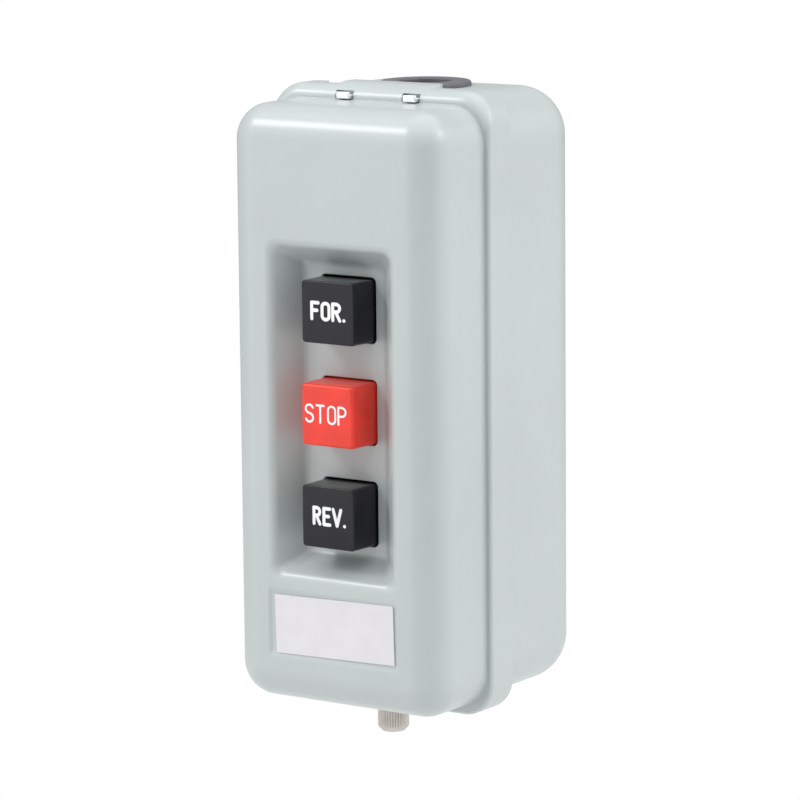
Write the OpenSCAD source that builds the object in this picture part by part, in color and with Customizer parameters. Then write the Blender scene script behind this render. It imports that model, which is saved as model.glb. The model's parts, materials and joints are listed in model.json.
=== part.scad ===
// Three-key reversing pushbutton switch in a two-part drawn steel case.
// The origin is the centre of the back face that lies on the wall. X runs to the right as the
// user sees it, -Y comes out of the wall towards the user and +Z is up.
// Every module below is drawn lying down as [x, height, distance from the wall] and stood up
// by upright().

/* [Case] */
// Width over the rim of the cover
rim_w = 63.8; // [62:0.2:70]
// Height over the rim of the cover
rim_h = 150; // [146:0.5:160]
// Distance from the wall to the front plane of the cover
case_depth = 63.7; // [62:0.1:68]
// Thickness of the drawn steel sheet
sheet = 0.8; // [0.6:0.05:1]
// Radius of the rim's corners, seen from the front
rim_r = 8.4; // [7:0.1:11]
// Radius of the rim's front edge
rim_edge_r = 3; // [2.6:0.1:3.2]

/* [Cover] */
// Distance from the wall to the rear edge of the cover's rim
rim_rear = 34; // [32:0.5:36]
// Distance from the wall to the shoulder between the rim and the raised front
shoulder = 43; // [42:0.5:46]
// Width of the shoulder at each side
side_step = 2; // [1.6:0.1:3]
// Width of the shoulder at the top
top_step = 3.4; // [3.2:0.1:4]
// Width of the shoulder at the bottom
foot_step = 2.2; // [1.6:0.1:3.4]
// Radius of the raised front's corners, seen from the front
front_r = 8.7; // [8.6:0.1:11]
// Radius of the drawn edge round the front plane
front_edge_r = 8; // [5:0.25:8.5]

/* [Recess for the keys] */
// Depth of the recess below the front plane
recess_depth = 8; // [6.5:0.25:9]
// How far each wall of the recess leans in over its depth
recess_lean = 4.8; // [3:0.2:6]
// Free floor at each side of the keys
recess_side_margin = 4.95; // [3.5:0.05:6]
// Free floor above and below the keys
recess_end_margin = 3.25; // [2:0.05:5]
// Radius of the soft edge round the mouth of the recess
recess_mouth_r = 2.4; // [1.2:0.1:3]
// Radius of the fillet round the floor of the recess
recess_floor_r = 1.6; // [0.8:0.1:2.4]

/* [Keys] */
// Width of a key's face
key_w = 15; // [13.6:0.1:16]
// Height of a key's face
key_h = 14.85; // [13.6:0.05:16]
// Distance between neighbouring keys, as a share of the rim's height
key_pitch_share = 0.1633; // [0.156:0.0001:0.17]
// Height of the middle key above the middle of the case
key_row_h = -1.1; // [-3:0.1:1]
// How far the keys stand out of the front plane
key_proud = 1.3; // [0:0.1:3]
// How much lower the face of the forward key is moulded
forward_key_low = 0.8; // [0:0.1:1.2]
// Widening of a key from its face to the floor of the recess
key_draft = 0.2; // [0.1:0.1:0.8]
// Radius of a key's upright edges
key_corner_r = 0.9; // [0.7:0.1:2]
// Radius round the faces of the forward and reverse keys
key_face_r = 0.4; // [0.2:0.1:0.7]
// Radius round the face of the stop key
stop_face_r = 0.7; // [0.2:0.1:0.7]
// Gap between a key and its opening in the cover
key_gap = 0.3; // [0.3:0.05:0.7]
// Travel of a key
key_travel = 4.5; // [3.5:0.25:5]
// Length of a key below the floor of the recess
key_skirt = 4.4; // [3:0.2:5]

/* [Name plate] */
// Width of the name plate
plate_w = 34.4; // [30:0.2:38]
// Height of the name plate
plate_h = 14.3; // [12:0.1:16]
// Thickness of the name plate
plate_t = 0.3; // [0.2:0.05:0.4]
// Angle at which the plate was stuck on
plate_tilt = 1.4; // [-2:0.1:2]
// Margin between the plate and each side of its shallow panel
plate_margin = 1.6; // [1.5:0.1:2]
// Margin above and below the plate in its panel
plate_end_margin = 0.85; // [0.8:0.05:1.5]
// How far off the middle the plate was stuck on
plate_off = 0.4; // [-0.6:0.1:0.6]
// Depth of the shallow panel under the plate
panel_depth = 0.4; // [0.35:0.05:0.5]
// Distance from the lower edge of the recess to the panel
panel_drop = 3.8; // [3.6:0.1:4.4]

/* [Base box] */
// Play between the cover's rim and the box at each side
side_play = 0.45; // [0.35:0.05:0.8]
// Play between the cover's rim and the box at the top
top_play = 0.4; // [0.35:0.05:0.8]
// Play between the cover's rim and the box at the bottom
foot_play = 1.4; // [1:0.1:2]
// Play between the box's open edge and the shoulder of the cover
edge_play = 1.2; // [1.1:0.1:1.6]
// Radius of the box's corners, seen from the front
box_r = 11.8; // [11.6:0.1:14]
// Radius of the drawn edge round the back of the box
box_edge_r = 11; // [6:0.25:11.5]
// Distance from each of the two screw holes in the back to the end of the box
wall_hole_end = 16.3; // [15.5:0.1:17.5]
// Diameter of the two screw holes in the back
wall_hole_d = 5; // [4:0.1:6]

/* [Cable grommet] */
// Distance from the wall to the middle of the grommet
grommet_out = 22.4; // [22:0.1:22.6]
// Diameter of the grommet's outer flange
grommet_d = 22.4; // [21.6:0.1:22.6]
// Height of the outer flange above the box
grommet_rise = 1.3; // [1:0.1:1.5]
// Diameter of the hole in the box for the grommet
grommet_hole_d = 19; // [18:0.2:19.8]
// Bore of the grommet for the cable
cable_d = 13; // [9:0.5:14]

/* [Thumb screw] */
// Diameter of the knurled head
thumb_d = 7.6; // [6.6:0.1:9]
// Length of the knurled head
thumb_l = 7.6; // [5:0.1:10]
// Diameter of the screw's shank
thumb_shank_d = 4; // [3:0.1:4.4]

/* [Contact block] */
// Room between the contact block and each side of the box
block_side_room = 7.65; // [6:0.05:8.5]
// Room between the contact block and each end of the box
block_end_room = 23.3; // [22:0.1:25]
// Thickness of the block's floor
block_floor_t = 3.15; // [2.8:0.05:4]
// Depth of the rear moulding
base_depth = 20.15; // [19.5:0.05:21]
// Depth of the hollow in the front moulding
hood_hollow = 10.5; // [10:0.25:12]
// Thickness of the front moulding's roof
hood_roof_t = 3.5; // [2.5:0.25:4]
// Thickness of the mouldings' walls
block_wall = 2; // [1.6:0.1:2.4]
// Diameter of the plungers' stems
stem_d = 7; // [6:0.1:7.6]
// Diameter of the plungers' collars
collar_d = 10; // [9:0.1:10.4]
// Travel of the latch plate
latch_travel = 2.2; // [1.5:0.1:2.6]

/* [Hidden] */

over = 1;              // overrun of every cut
seat = 0.05;           // gap left where one piece is seated on another
fit = 0.05;            // radial play of a turning or sliding fit
arc_steps = 6;         // straight pieces in each drawn arc
post_sides = 48;       // sides of the round posts inside a hull

// Cover
front_w = rim_w - 2 * side_step;
front_h = rim_h - top_step - foot_step;
front_mid = (foot_step - top_step) / 2;
front_top = rim_h / 2 - top_step;
front_inner = case_depth - sheet;

// Recess
key_pitch = rim_h * key_pitch_share;
key_base_w = key_w + key_draft;
key_base_h = key_h + key_draft;
floor_out = case_depth - recess_depth;
floor_half_w = key_w / 2 + recess_side_margin;
floor_half_h = key_pitch + key_h / 2 + recess_end_margin;
wall_lean = atan(recess_lean / recess_depth);

// Panel and plate
panel_w = plate_w + 2 * plate_margin;
panel_h = plate_h + 2 * plate_end_margin;
panel_r = plate_margin;
panel_top = key_row_h - floor_half_h - recess_lean - panel_drop;
panel_mid = panel_top - panel_h / 2;
panel_floor = case_depth - panel_depth;

// Base box
box_w = rim_w - 2 * (sheet + side_play);
box_top = rim_h / 2 - sheet - top_play;
box_foot = -rim_h / 2 + sheet + foot_play;
box_h = box_top - box_foot;
box_mid = (box_top + box_foot) / 2;
box_edge = shoulder - sheet - edge_play;
box_flat = box_w / 2 - box_edge_r;
box_in_edge_r = box_edge_r - sheet;
box_in_w = box_w - 2 * sheet;
box_in_top = box_top - sheet;
box_in_foot = box_foot + sheet;
wall_hole_pitch = box_h - 2 * wall_hole_end;

// Raised bridge of the rim over the grommet, between two relief notches
notch_x = 16.5;
notch_r = 3.7;
bridge_half_w = notch_x - notch_r;
bridge_rise = 0.65;
bridge_flat = 4.2;     // depth of the bridge's level part
bridge_ramp = 2.6;     // depth of its slope down to the rim
bridge_side = 1.2;     // width of its slope at each side

// Hooks
hook_x = 9.6;
hook_w = 3.6;
hook_t = 1;
hook_nose = 0.6;
hook_reach = 1.3;      // how far a hook stands out of the shoulder
hook_side_play = 0.8;
hook_top_play = 0.25;
strip_off = 0.5;       // how far off the middle the strip was welded in
strip_w = 28;
strip_depth = 5;
hook_top = box_in_top - seat;
hook_foot = hook_top - hook_t;

// Grommet
grommet_neck_d = grommet_hole_d - 2 * fit;
grommet_hold = 1.1;    // how far the inner flange reaches over the sheet
grommet_in_d = grommet_hole_d + 2 * grommet_hold;
grommet_in_t = 1.6;
grommet_edge_r = 0.8;

// Thumb screw and its nut
thumb_out = (rim_rear + shoulder) / 2;
thumb_play = 0.4;
thumb_hole_d = thumb_shank_d + 2 * thumb_play;
thumb_seat = -rim_h / 2 - seat;
thumb_chamfer = 0.9;
thumb_neck = 0.6;
nut_af_share = 1.6;
nut_t_share = 0.75;
nut_af = thumb_shank_d * nut_af_share;
nut_t = thumb_shank_d * nut_t_share;
nut_top = box_in_foot + seat + nut_t;
thumb_tail = 1.6;      // shank beyond the nut

// Contact block, from the wall outwards
row_forward = key_row_h + key_pitch;
row_stop = key_row_h;
row_reverse = key_row_h - key_pitch;
block_w = box_w - 2 * block_side_room;
block_h = box_h - 2 * block_end_room;
terminal_run = block_h / 2 - key_pitch;
poles = [-1, 0, 1];
pole_pitch = (block_w - block_wall) / len(poles);
block_top = key_row_h + block_h / 2;
block_foot = key_row_h - block_h / 2;
base_back = sheet + seat;
base_floor = base_back + block_floor_t;
block_run = max(0, block_w / 2 - box_flat);
block_lift = box_in_edge_r - sqrt(pow(box_in_edge_r, 2) - pow(block_run, 2)) + seat;
base_front = base_back + base_depth;
channel_w = pole_pitch - block_wall;
terminal_end = 5.6;    // distance from a terminal screw to the end of the block
terminal_h = block_h / 2 - terminal_end;
terminals = [for (side = [-1, 1], pole = poles) [pole * pole_pitch, key_row_h + side * terminal_h]];
strip_t = 1.2;
strip_half_w = 3.6;
tip_t = 1;
tip_d = 3.6;
tip_h = 5.2;           // height of a contact tip above or below the key's row
bridge_t = 1;
bridge_w = 5;
bridge_over = 2.4;     // bridge beyond the middle of its tip
contact_gap = 0.15;    // what is left between the tips of a pressed key
crossbar_t = 6;
crossbar_h = 6.6;
crossbar_end = 4;      // crossbar beyond the outer poles
crossbar_w = 2 * (pole_pitch + crossbar_end);
crossbar_play = 0.6;
strip_front = base_floor + seat + strip_t;
tips_front = strip_front + tip_t;
bridge_tips_back = tips_front + key_travel + contact_gap;
bridge_back = bridge_tips_back + tip_t;
crossbar_back = bridge_back + bridge_t;
crossbar_front = crossbar_back + crossbar_t;
notch_floor = bridge_back - key_travel - crossbar_play;

// Front moulding
hood_back = base_front + seat;
roof_back = hood_back + hood_hollow;
roof_front = roof_back + hood_roof_t;
stop_gap = 0.2;
collar_front = roof_back - stop_gap;
post_r = 2.8;
post_x = pole_pitch / 2;
hood_run_share = 0.68; // share of the block's length beyond the keys that the hood covers
hood_run = terminal_run * hood_run_share;
hood_h = 2 * (key_pitch + hood_run);
hood_top = key_row_h + hood_h / 2;
hood_foot = key_row_h - hood_h / 2;
post_end = 4;          // distance from a hood screw to the end of the hood
post_h = hood_h / 2 - post_end;
posts = [[-post_x, key_row_h + post_h], [post_x, key_row_h - post_h]];
post_hole_d = 3.2;
screw_play = 0.1;

// Latch plate
latch_t = 1;
latch_rise = 4.8;      // height of the latch plate above the rear moulding
latch_back = hood_back + latch_rise;
latch_front = latch_back + latch_t;
latch_side_play = 0.4;
latch_half_w = block_w / 2 - block_wall - latch_side_play;
latch_slot_play = 0.4;
latch_slot_half = collar_d / 2 + latch_slot_play;
latch_web = 2;
latch_top = row_forward + latch_slot_half + latch_web;
latch_foot = row_reverse - latch_slot_half - latch_travel - latch_web;
latch_tab_h = 4;
latch_tab_half_w = 3;
shelf_t = 2.8;
shelf_w = 8;
wedge_half_w = 3;
wedge_lead = latch_travel / key_travel;
wedge_play = 0.35;

// Springs
spring_wire = 0.8;
spring_off = 1.5;      // from the stem to the middle of the wire
spring_r = stem_d / 2 + spring_off;
spring_turns = 6;
latch_spring_wire = 0.5;
latch_spring_r = 1.4;
latch_spring_lead = 1.2;
coil_rings = 10;       // rings of the wire in one turn
coil_sides = 6;        // sides of the wire

latch_spring_l = hood_top - block_wall - latch_top - 2 * seat;

// Keys
key_foot = floor_out - sheet - key_skirt;
socket_d = 5;
socket_depth = 4;
cap_sides = 24;

// Fasteners
ear_hole_x = pole_pitch;
ear_w = 10;
ear_l = 9;
ear_t = 2.6;
ear_screw_d = 3;
ear_hole_d = ear_screw_d + 2 * fit;
ear_middle = 4.8;      // height of an ear's screw above the moulding's end
pan_d = 5.6;
pan_t = 2;
slot_w = 0.8;
slot_depth = 0.9;
terminal_screw_d = 3.5;
terminal_head_d = 6.2;
terminal_head_t = 2.2;
terminal_bore = 2.2;
washer_w = 7.4;
washer_t = 0.9;
earth_room = 0.15;     // flat sheet left beside the earth washer
earth_drop = 6;        // distance from the block down to the earth screw
earth_h = block_foot - earth_drop;
earth_screw_d = 4;
earth_head_d = 7.2;
earth_washer_d = earth_head_d + 2 * washer_t;
earth_x = box_flat - earth_washer_d / 2 - earth_room;
earth_head_t = 2.6;

// Colours
paint = [0.80, 0.83, 0.83];
plated = [0.78, 0.78, 0.76];
brass_colour = [0.80, 0.64, 0.32];
moulding = [0.13, 0.12, 0.12];
hood_colour = [0.20, 0.13, 0.09];
black_key = [0.10, 0.10, 0.11];
red_key = [0.86, 0.16, 0.12];
rubber_colour = [0.12, 0.12, 0.13];

module upright() rotate([90, 0, 0]) children();

// Turns a shape drawn along Z so that it stands up along the height.
module standing() rotate([-90, 0, 0]) children();

function arc(centre, radius, from, to) =
    [for (i = [0 : arc_steps])
        let (a = from + (to - from) * i / arc_steps)
            centre + radius * [cos(a), sin(a)]];

module rounded_rect(w, h, r)
    polygon(concat(
        arc([w / 2 - r, h / 2 - r], r, 0, 90), arc([r - w / 2, h / 2 - r], r, 90, 180),
        arc([r - w / 2, r - h / 2], r, 180, 270), arc([w / 2 - r, r - h / 2], r, 270, 360)));

// A box from z = 0 to z = d with round corners and a rounded edge at its far end.
module drawn_box(w, h, d, corner_r, edge_r)
    hull()
        for (x = [-1, 1], y = [-1, 1])
            translate([x * (w / 2 - corner_r), y * (h / 2 - corner_r), 0])
                rotate_extrude($fn = post_sides)
                    polygon(concat([[0, 0], [corner_r, 0]],
                        arc([corner_r - edge_r, d - edge_r], edge_r, 0, 90), [[0, d]]));

// Half outline of the recess, from its mouth down to its floor, moved out by grow.
function recess_side(half_floor, grow) =
    let (turn = 90 - wall_lean,
         mouth = half_floor + recess_lean + recess_mouth_r * tan(turn / 2),
         foot = half_floor - recess_floor_r * tan(turn / 2))
    concat(arc([mouth, case_depth - recess_mouth_r], recess_mouth_r - grow, 90, 90 + turn),
        arc([foot, floor_out + recess_floor_r], recess_floor_r + grow, -wall_lean, -90));

function mirrored(points) = [for (i = [len(points) - 1 : -1 : 0]) [-points[i][0], points[i][1]]];

// Outline of the recess across one direction, closed at the level named top.
module recess_outline(half_floor, grow, top) {
    side = recess_side(half_floor, grow);
    polygon(concat([[side[0][0], top]], side, mirrored(side), [[-side[0][0], top]]));
}

// The recess as two crossing prisms, which leaves a mitre in each corner.
module recess(grow, top) {
    long = 2 * (floor_half_h + recess_lean + recess_mouth_r) + over;
    translate([0, key_row_h, 0])
        intersection() {
            rotate([90, 0, 0])
                linear_extrude(long, center = true) recess_outline(floor_half_w, grow, top);
            rotate([90, 0, 90])
                linear_extrude(long, center = true) recess_outline(floor_half_h, grow, top);
        }
}

// Rim of the cover, bulged up between the two relief notches.
module rim_bridge(rise, inset, low) {
    rear = rim_rear - inset;
    hull() {
        translate([-bridge_half_w - bridge_side + inset, low, rear])
            cube([2 * (bridge_half_w + bridge_side - inset), rim_h / 2 - low - inset,
                bridge_flat + bridge_ramp]);
        translate([-bridge_half_w + inset, low, rear])
            cube([2 * (bridge_half_w - inset), rim_h / 2 + rise - low, bridge_flat]);
    }
}

module cover_solid() {
    translate([0, front_mid, shoulder - sheet])
        drawn_box(front_w, front_h, case_depth - shoulder + sheet, front_r, front_edge_r);
    translate([0, 0, rim_rear])
        drawn_box(rim_w, rim_h, shoulder - rim_rear, rim_r, rim_edge_r);
    rim_bridge(bridge_rise, 0, front_top);
}

module cover_hollow() {
    translate([0, front_mid, shoulder - sheet - over])
        drawn_box(front_w - 2 * sheet, front_h - 2 * sheet, front_inner - shoulder + sheet + over,
            front_r - sheet, front_edge_r - sheet);
    translate([0, 0, rim_rear - over])
        drawn_box(rim_w - 2 * sheet, rim_h - 2 * sheet, shoulder - sheet - rim_rear + over,
            rim_r - sheet, rim_edge_r - sheet);
    rim_bridge(bridge_rise - sheet, sheet, front_top);
}

module front_cover() color(paint) upright()
    difference() {
        union() {
            difference() {
                cover_solid();
                cover_hollow();
            }
            recess(sheet, case_depth - sheet / 2);
            translate([0, panel_mid, panel_floor - sheet])
                linear_extrude(sheet)
                    rounded_rect(panel_w + 2 * sheet, panel_h + 2 * sheet, panel_r + sheet);
        }
        recess(0, case_depth + over);
        translate([0, panel_mid, panel_floor])
            linear_extrude(panel_depth + over) rounded_rect(panel_w, panel_h, panel_r);
        for (row = [row_forward, row_stop, row_reverse])
            translate([0, row, floor_out - sheet - over])
                linear_extrude(sheet + 2 * over)
                    rounded_rect(key_base_w + 2 * key_gap, key_base_h + 2 * key_gap,
                        key_corner_r + key_gap);
        for (side = [-1, 1]) {
            hook_opening(side);
            translate([side * notch_x, front_top, rim_rear])
                standing() cylinder(h = rim_h / 2 - front_top + bridge_rise + over, r = notch_r);
        }
        screw_opening();
    }

// The opening in the shoulder that a hook passes through.
module hook_opening(side)
    translate([side * hook_x - hook_w / 2 - hook_side_play, hook_foot - hook_top_play,
            shoulder - sheet - over])
        cube([hook_w + 2 * hook_side_play, hook_t + hook_nose + 2 * hook_top_play,
            sheet + 2 * over]);

// The slot in the rim that lets the cover come off past the loosened screw.
module screw_opening()
    translate([0, -rim_h / 2 - over, 0]) {
        translate([0, 0, thumb_out])
            standing() cylinder(h = sheet + 2 * over, d = thumb_hole_d);
        translate([-thumb_hole_d / 2, 0, rim_rear - over])
            cube([thumb_hole_d, sheet + 2 * over, thumb_out - rim_rear + over]);
    }

module name_plate() color("white") upright()
    translate([plate_off, panel_mid, panel_floor + seat])
        rotate([0, 0, plate_tilt])
            linear_extrude(plate_t) square([plate_w, plate_h], center = true);

module base_box() color(paint) upright()
    difference() {
        translate([0, box_mid, box_edge])
            mirror([0, 0, 1]) drawn_box(box_w, box_h, box_edge, box_r, box_edge_r);
        translate([0, box_mid, box_edge + over])
            mirror([0, 0, 1])
                drawn_box(box_in_w, box_h - 2 * sheet, box_edge + over - sheet, box_r - sheet,
                    box_edge_r - sheet);
        for (side = [-1, 1])
            translate([0, side * wall_hole_pitch / 2, -over])
                cylinder(h = sheet + 2 * over, d = wall_hole_d);
        translate([0, box_in_top - over, grommet_out])
            standing() cylinder(h = sheet + 2 * over, d = grommet_hole_d);
        translate([0, box_foot - over, thumb_out])
            standing() cylinder(h = sheet + 2 * over, d = thumb_hole_d);
        for (side = [-1, 1])
            ear_place(side) translate([0, 0, -over]) cylinder(h = sheet + 2 * over, d = ear_hole_d);
        translate([earth_x, earth_h, -over])
            cylinder(h = sheet + 2 * over, d = earth_screw_d + 2 * fit);
    }

// Rubber bush: a flange on each side of the sheet and a bore for the cable.
module cable_grommet() color(rubber_colour) upright()
    translate([0, box_top + seat, grommet_out])
        standing()
            rotate_extrude()
                polygon(concat(
                    [[cable_d / 2, -sheet - 2 * seat - grommet_in_t],
                     [grommet_in_d / 2, -sheet - 2 * seat - grommet_in_t],
                     [grommet_in_d / 2, -sheet - 2 * seat],
                     [grommet_neck_d / 2, -sheet - 2 * seat],
                     [grommet_neck_d / 2, 0], [grommet_d / 2, 0]],
                    arc([grommet_d / 2 - grommet_edge_r, grommet_rise - seat - grommet_edge_r],
                        grommet_edge_r, 0, 90),
                    [[cable_d / 2, grommet_rise - seat]]));

// Plated strip inside the top of the box, with the two hooks that carry the cover.
module hook_strip() color(plated) upright() {
    rear = box_edge - strip_depth;
    translate([strip_off - strip_w / 2, hook_foot, rear]) cube([strip_w, hook_t, strip_depth]);
    for (side = [-1, 1])
        translate([strip_off + side * hook_x - hook_w / 2, hook_foot, rear]) {
            cube([hook_w, hook_t, shoulder + hook_reach - rear]);
            translate([0, 0, shoulder + hook_reach - rear - hook_reach / 2])
                cube([hook_w, hook_t + hook_nose, hook_reach / 2]);
        }
}

module captive_nut() color(plated) upright()
    translate([0, box_in_foot + seat, thumb_out])
        standing()
            difference() {
                cylinder(h = nut_t, d = nut_af / cos(30), $fn = 6);
                translate([0, 0, -over])
                    cylinder(h = nut_t + 2 * over, d = thumb_shank_d + 2 * fit);
            }

module thumb_screw() color(plated) upright()
    translate([0, thumb_seat, thumb_out])
        standing()
            rotate_extrude()
                polygon([[0, -thumb_l], [thumb_d / 2 - thumb_chamfer, -thumb_l],
                    [thumb_d / 2, -thumb_l + thumb_chamfer], [thumb_d / 2, -thumb_neck],
                    [thumb_d / 2 - thumb_neck, 0], [thumb_shank_d / 2, 0],
                    [thumb_shank_d / 2, nut_top - thumb_seat + thumb_tail],
                    [0, nut_top - thumb_seat + thumb_tail]]);

// A slotted pan-head screw with its head on z = 0 and its shank going down.
module slotted_screw(shank_d, shank_l, head_d, head_t)
    difference() {
        union() {
            cylinder(h = head_t, d = head_d);
            translate([0, 0, -shank_l]) cylinder(h = shank_l + head_t / 2, d = shank_d);
        }
        translate([-head_d / 2 - over, -slot_w / 2, head_t - slot_depth])
            cube([head_d + 2 * over, slot_w, slot_depth + over]);
    }

module earth_washer() color(plated) upright()
    translate([earth_x, earth_h, sheet + seat])
        difference() {
            cylinder(h = washer_t, d = earth_washer_d);
            translate([0, 0, -over])
                cylinder(h = washer_t + 2 * over, d = earth_screw_d + 2 * fit);
        }

module earth_screw() color(plated) upright()
    translate([earth_x, earth_h, sheet + washer_t + 2 * seat])
        slotted_screw(earth_screw_d, sheet + washer_t, earth_head_d, earth_head_t);

module ear_place(side)
    translate([side * ear_hole_x, side > 0 ? block_top + ear_middle : block_foot - ear_middle, 0])
        children();

// Rear moulding: a floor, four barriers and a channel for each pole, open at both ends. Its back
// is cut away along both sides, where the box curves up.
module contact_base() color(moulding) upright()
    difference() {
        union() {
            translate([-block_w / 2, block_foot, base_back]) cube([block_w, block_h, base_depth]);
            for (side = [-1, 1])
                ear_place(side)
                    translate([-ear_w / 2, side > 0 ? -ear_middle : -ear_l + ear_middle, base_back])
                        cube([ear_w, ear_l, ear_t]);
        }
        for (pole = poles)
            translate([pole * pole_pitch, 0, 0])
                difference() {
                    translate([-channel_w / 2, block_foot - over, base_floor])
                        cube([channel_w, block_h + 2 * over, base_depth + over]);
                    for (p = posts)
                        translate([p[0] - pole * pole_pitch, p[1], base_back])
                            cylinder(h = base_depth, r = post_r);
                }
        for (row = [row_forward, row_reverse])
            translate([-crossbar_w / 2 - crossbar_play, row - crossbar_h / 2 - crossbar_play,
                    notch_floor])
                cube([crossbar_w + 2 * crossbar_play, crossbar_h + 2 * crossbar_play,
                    base_depth + over]);
        for (p = posts)
            translate([p[0], p[1], base_floor])
                cylinder(h = base_depth + over, d = post_hole_d);
        for (t = terminals)
            translate([t[0], t[1], base_floor - terminal_bore])
                cylinder(h = terminal_bore + over, d = terminal_screw_d + 2 * fit);
        for (side = [-1, 1]) {
            ear_place(side) cylinder(h = base_back + ear_t + over, d = ear_hole_d);
            translate([side > 0 ? box_flat : -block_w / 2 - over, block_foot - ear_l - over, 0])
                cube([block_w / 2 - box_flat + over, block_h + 2 * (ear_l + over),
                    base_back + block_lift]);
        }
    }

module chassis_screws() color(plated) upright()
    for (side = [-1, 1])
        ear_place(side)
            translate([0, 0, base_back + ear_t + seat])
                slotted_screw(ear_screw_d, ear_t + sheet, pan_d, pan_t);

// A fixed contact strip from one height to another, with a round tip at each height in tips.
module contact_strips(from, to, tips, holes)
    for (pole = poles)
        translate([pole * pole_pitch, 0, base_floor + seat])
            difference() {
                union() {
                    translate([-strip_half_w, from, 0])
                        cube([2 * strip_half_w, to - from, strip_t]);
                    for (tip = tips)
                        translate([0, tip, 0]) cylinder(h = strip_t + tip_t, d = tip_d);
                }
                for (hole = holes)
                    translate([0, hole, -over])
                        cylinder(h = strip_t + 2 * over, d = terminal_screw_d + 2 * fit);
            }

module upper_contacts() color(brass_colour) upright()
    contact_strips(row_forward + tip_h - bridge_over, block_top - block_wall,
        [row_forward + tip_h], [key_row_h + terminal_h]);

module middle_contacts() color(brass_colour) upright()
    contact_strips(row_reverse + tip_h - bridge_over, row_forward - tip_h + bridge_over,
        [row_reverse + tip_h, row_forward - tip_h], []);

module lower_contacts() color(brass_colour) upright()
    contact_strips(block_foot + block_wall, row_reverse - tip_h + bridge_over,
        [row_reverse - tip_h], [key_row_h - terminal_h]);

module terminal_washers() color(plated) upright()
    for (t = terminals)
        translate([t[0], t[1], strip_front + seat])
            difference() {
                translate([-washer_w / 2, -washer_w / 2, 0]) cube([washer_w, washer_w, washer_t]);
                translate([0, 0, -over])
                    cylinder(h = washer_t + 2 * over, d = terminal_screw_d + 2 * fit);
            }

module terminal_screws() color(plated) upright()
    for (t = terminals)
        translate([t[0], t[1], strip_front + washer_t + 2 * seat])
            slotted_screw(terminal_screw_d, washer_t + strip_t + terminal_bore, terminal_head_d,
                terminal_head_t);

// Front moulding: a hood with a bore for each stem and a shelf each side for the latch plate.
module guide_hood() color(hood_colour) upright()
    difference() {
        union() {
            difference() {
                translate([-block_w / 2, hood_foot, hood_back])
                    cube([block_w, hood_h, hood_hollow + hood_roof_t]);
                translate([block_wall - block_w / 2, hood_foot + block_wall, hood_back - over])
                    cube([block_w - 2 * block_wall, hood_h - 2 * block_wall, hood_hollow + over]);
            }
            for (side = [-1, 1])
                translate([side * (block_w / 2 - block_wall / 2 - shelf_w / 2) - shelf_w / 2,
                        hood_foot + block_wall / 2, latch_back - seat - shelf_t])
                    cube([shelf_w, hood_h - block_wall, shelf_t]);
            for (p = posts)
                translate([p[0], p[1], hood_back])
                    cylinder(h = hood_hollow + hood_roof_t / 2, r = post_r);
        }
        for (row = [row_forward, row_stop, row_reverse])
            translate([0, row, roof_back - over])
                cylinder(h = hood_roof_t + 2 * over, d = stem_d + 2 * fit);
        for (p = posts)
            translate([p[0], p[1], hood_back - over])
                cylinder(h = hood_hollow + hood_roof_t + 2 * over, d = post_hole_d);
    }

module hood_screws() color(plated) upright()
    for (p = posts)
        translate([p[0], p[1], roof_front + seat])
            slotted_screw(post_hole_d - 2 * screw_play, roof_front - base_floor - over, pan_d,
                pan_t);

// Plate that slides up when the stop key goes in. The stop key's wedge bears on its edge.
module latch_plate() color(plated) upright() {
    difference() {
        translate([-latch_half_w, latch_foot, latch_back])
            cube([2 * latch_half_w, latch_top - latch_foot, latch_t]);
        for (row = [row_forward, row_reverse])
            translate([-latch_slot_half, row - latch_slot_half - latch_travel,
                    latch_back - over])
                cube([2 * latch_slot_half, 2 * latch_slot_half + latch_travel,
                    latch_t + 2 * over]);
        translate([-latch_slot_half, row_stop - latch_slot_half - latch_travel,
                latch_back - over])
            cube([2 * latch_slot_half, wedge_edge(latch_front) + wedge_play - row_stop
                + latch_slot_half + latch_travel, latch_t + 2 * over]);
    }
    translate([-latch_tab_half_w, latch_top - latch_t, latch_back])
        cube([2 * latch_tab_half_w, latch_t, latch_t + latch_tab_h]);
}

// Height of the wedge's slanting face at a distance from the wall.
function wedge_edge(out) = row_stop + stem_d / 2 + (out - latch_front) * wedge_lead;

module forward_plunger() color(moulding) upright() plunger(row_forward, true);
module reverse_plunger() color(moulding) upright() plunger(row_reverse, true);
module stop_plunger() color(moulding) upright() plunger(row_stop, false);

// A plunger: a stem in the roof's bore, a collar under the roof and, on a switching key, the
// crossbar that carries the bridges. The stop key's has a wedge for the latch plate instead.
module plunger(row, switching)
    translate([0, row, 0]) {
        translate([0, 0, collar_front - over])
            cylinder(h = key_foot + socket_depth - collar_front + over - seat, d = stem_d);
        if (switching) {
            translate([0, 0, crossbar_front - over])
                cylinder(h = collar_front - crossbar_front + over, d = collar_d);
            translate([-crossbar_w / 2, -crossbar_h / 2, crossbar_back])
                cube([crossbar_w, crossbar_h, crossbar_t]);
        } else {
            wedge_top = roof_back - stop_gap;
            wedge_back = latch_back - key_travel / 2;
            translate([-wedge_half_w, 0, 0])
                rotate([90, 0, 90])
                    linear_extrude(2 * wedge_half_w)
                        polygon([[-stem_d / 2, wedge_back],
                            [wedge_edge(wedge_back) - row_stop, wedge_back],
                            [wedge_edge(wedge_top) - row_stop, wedge_top],
                            [-stem_d / 2, wedge_top]]);
        }
    }

module forward_bridges() color(brass_colour) upright() bridges(row_forward);
module reverse_bridges() color(brass_colour) upright() bridges(row_reverse);

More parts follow.
